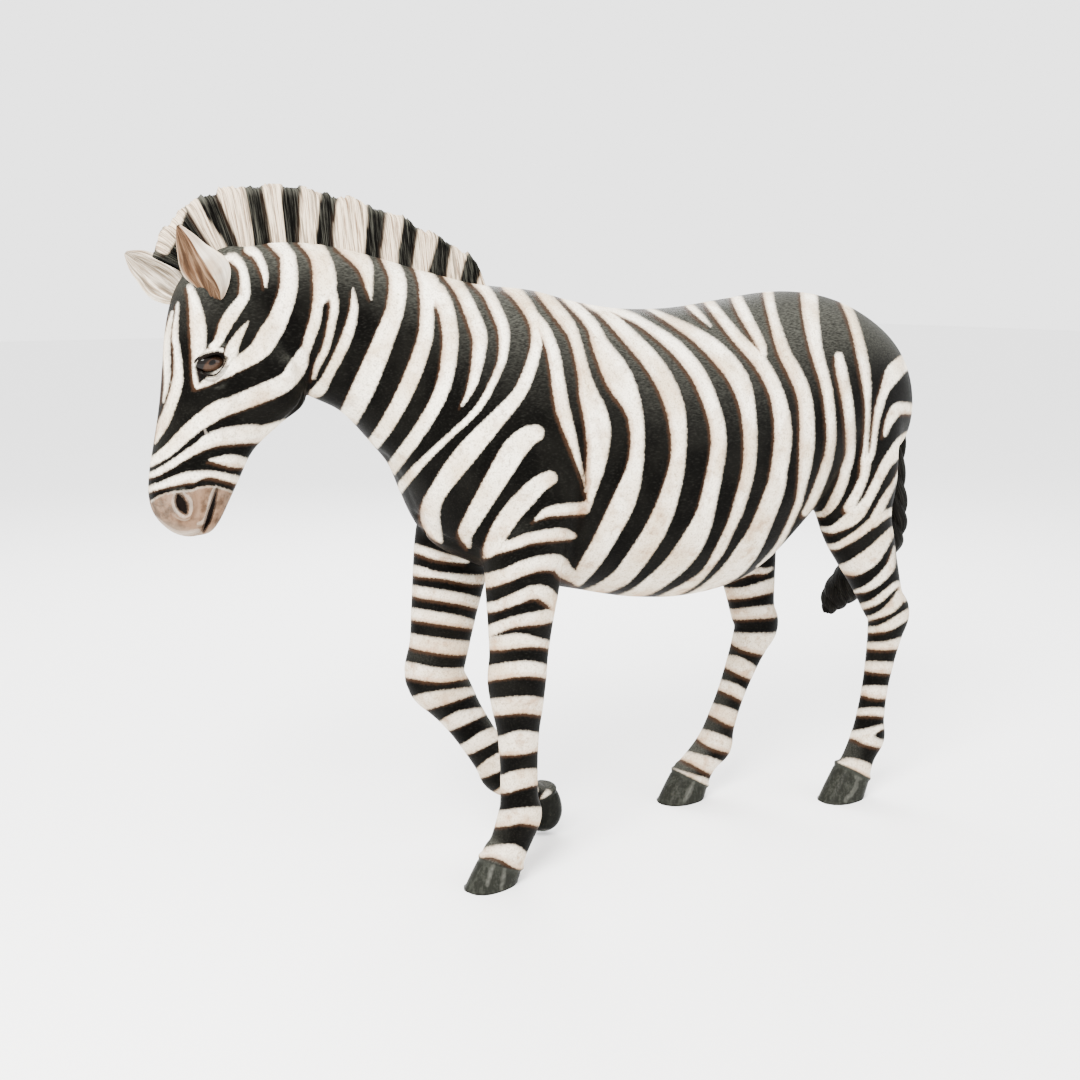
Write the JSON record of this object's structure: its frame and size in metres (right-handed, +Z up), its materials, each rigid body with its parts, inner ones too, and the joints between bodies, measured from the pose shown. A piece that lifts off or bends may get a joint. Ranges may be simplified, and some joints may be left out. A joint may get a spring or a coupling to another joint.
{
  "type": "zebra statue",
  "caption": "Life-size figure of a walking zebra in cast fiberglass, with lowered head, upright mane, twisted hanging tail and a raised forefoot, painted with dark stripes.",
  "frame": {"origin": "centre of the figure's outline on the ground it stands on", "axes": "+Z up, the zebra faces -X and its left side is towards -Y"},
  "size_m": [2.0034, 0.4996, 1.5133],
  "materials": {
    "painted_coat": "satin painted fiberglass: dark grey-brown stripes and hooves over a cream coat"
  },
  "bodies": {
    "root": {"zebra": "painted_coat"}
  },
  "joints": []
}
